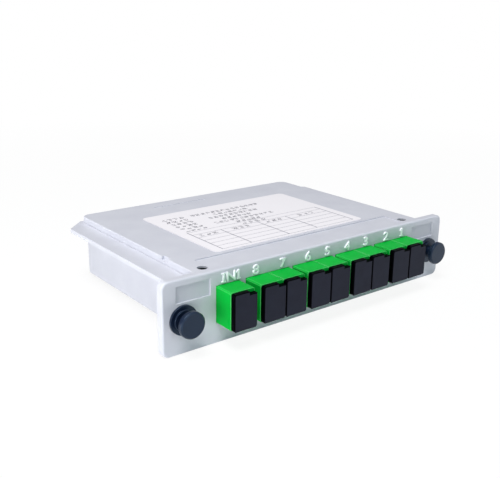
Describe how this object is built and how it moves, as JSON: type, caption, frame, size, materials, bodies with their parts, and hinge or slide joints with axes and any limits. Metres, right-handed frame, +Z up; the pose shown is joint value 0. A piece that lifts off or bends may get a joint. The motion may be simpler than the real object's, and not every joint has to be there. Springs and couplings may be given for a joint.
{
  "type": "plc fibre splitter",
  "caption": "Flat plug-in cassette that splits one optical fibre into several, with capped green ports in its face, guide rails at its sides and push latches at its ends.",
  "frame": {"origin": "under the middle of the whole cassette, at the height of the face's lower edge", "axes": "+X along the face to the right as seen from the ports, +Y from the ports to the back, +Z up"},
  "size_m": [0.13, 0.0924, 0.025],
  "materials": {
    "case": "fine satin moulding",
    "label": "coated paper, ruled print",
    "screw": "dark zinc",
    "port": "semi-gloss green moulding",
    "cap": "soft satin",
    "latch": "satin nylon",
    "sleeve": "polished ceramic",
    "plug": "semi-gloss green moulding",
    "boot": "soft white",
    "module": "satin",
    "input_jacket": "smooth jacket",
    "output_jacket": "smooth jacket"
  },
  "bodies": {
    "cassette": {"case_tray": "case", "top_cover": "case", "label": "label", "lid_screws": "screw", "adapter_in1": "port", "adapter_8_7": "port", "adapter_6_5": "port", "adapter_4_3": "port", "adapter_2_1": "port", "alignment_sleeve_in1": "sleeve", "connector_in1": "plug", "strain_boot_in1": "boot", "alignment_sleeve_8": "sleeve", "connector_8": "plug", "strain_boot_8": "boot", "alignment_sleeve_7": "sleeve", "connector_7": "plug", "strain_boot_7": "boot", "alignment_sleeve_6": "sleeve", "connector_6": "plug", "strain_boot_6": "boot", "alignment_sleeve_5": "sleeve", "connector_5": "plug", "strain_boot_5": "boot", "alignment_sleeve_4": "sleeve", "connector_4": "plug", "strain_boot_4": "boot", "alignment_sleeve_3": "sleeve", "connector_3": "plug", "strain_boot_3": "boot", "alignment_sleeve_2": "sleeve", "connector_2": "plug", "strain_boot_2": "boot", "alignment_sleeve_1": "sleeve", "connector_1": "plug", "strain_boot_1": "boot", "latch_grommet_left": "latch", "latch_grommet_right": "latch", "splitter_module": "module", "input_fibre": "input_jacket", "output_fibre_8": "output_jacket", "output_fibre_7": "output_jacket", "output_fibre_6": "output_jacket", "output_fibre_5": "output_jacket", "output_fibre_4": "output_jacket", "output_fibre_3": "output_jacket", "output_fibre_2": "output_jacket", "output_fibre_1": "output_jacket"},
    "dust_cap_in1": {"dust_cap_in1": "cap"},
    "dust_cap_8": {"dust_cap_8": "cap"},
    "dust_cap_7": {"dust_cap_7": "cap"},
    "dust_cap_6": {"dust_cap_6": "cap"},
    "dust_cap_5": {"dust_cap_5": "cap"},
    "dust_cap_4": {"dust_cap_4": "cap"},
    "dust_cap_3": {"dust_cap_3": "cap"},
    "dust_cap_2": {"dust_cap_2": "cap"},
    "dust_cap_1": {"dust_cap_1": "cap"},
    "latch_plunger_left": {"latch_plunger_left": "latch"},
    "latch_plunger_right": {"latch_plunger_right": "latch"}
  },
  "joints": [
    {"name": "cap_in1_pull", "type": "slide", "parent": "cassette", "child": "dust_cap_in1", "axis": [0, -1, 0], "range_m": [0, 0.01]},
    {"name": "cap_8_pull", "type": "slide", "parent": "cassette", "child": "dust_cap_8", "axis": [0, -1, 0], "range_m": [0, 0.01]},
    {"name": "cap_7_pull", "type": "slide", "parent": "cassette", "child": "dust_cap_7", "axis": [0, -1, 0], "range_m": [0, 0.01]},
    {"name": "cap_6_pull", "type": "slide", "parent": "cassette", "child": "dust_cap_6", "axis": [0, -1, 0], "range_m": [0, 0.01]},
    {"name": "cap_5_pull", "type": "slide", "parent": "cassette", "child": "dust_cap_5", "axis": [0, -1, 0], "range_m": [0, 0.01]},
    {"name": "cap_4_pull", "type": "slide", "parent": "cassette", "child": "dust_cap_4", "axis": [0, -1, 0], "range_m": [0, 0.01]},
    {"name": "cap_3_pull", "type": "slide", "parent": "cassette", "child": "dust_cap_3", "axis": [0, -1, 0], "range_m": [0, 0.01]},
    {"name": "cap_2_pull", "type": "slide", "parent": "cassette", "child": "dust_cap_2", "axis": [0, -1, 0], "range_m": [0, 0.01]},
    {"name": "cap_1_pull", "type": "slide", "parent": "cassette", "child": "dust_cap_1", "axis": [0, -1, 0], "range_m": [0, 0.01]},
    {"name": "latch_left_push", "type": "slide", "parent": "cassette", "child": "latch_plunger_left", "axis": [0, 1, 0], "range_m": [0, 0.0023]},
    {"name": "latch_right_push", "type": "slide", "parent": "cassette", "child": "latch_plunger_right", "axis": [0, 1, 0], "range_m": [0, 0.0023]}
  ]
}
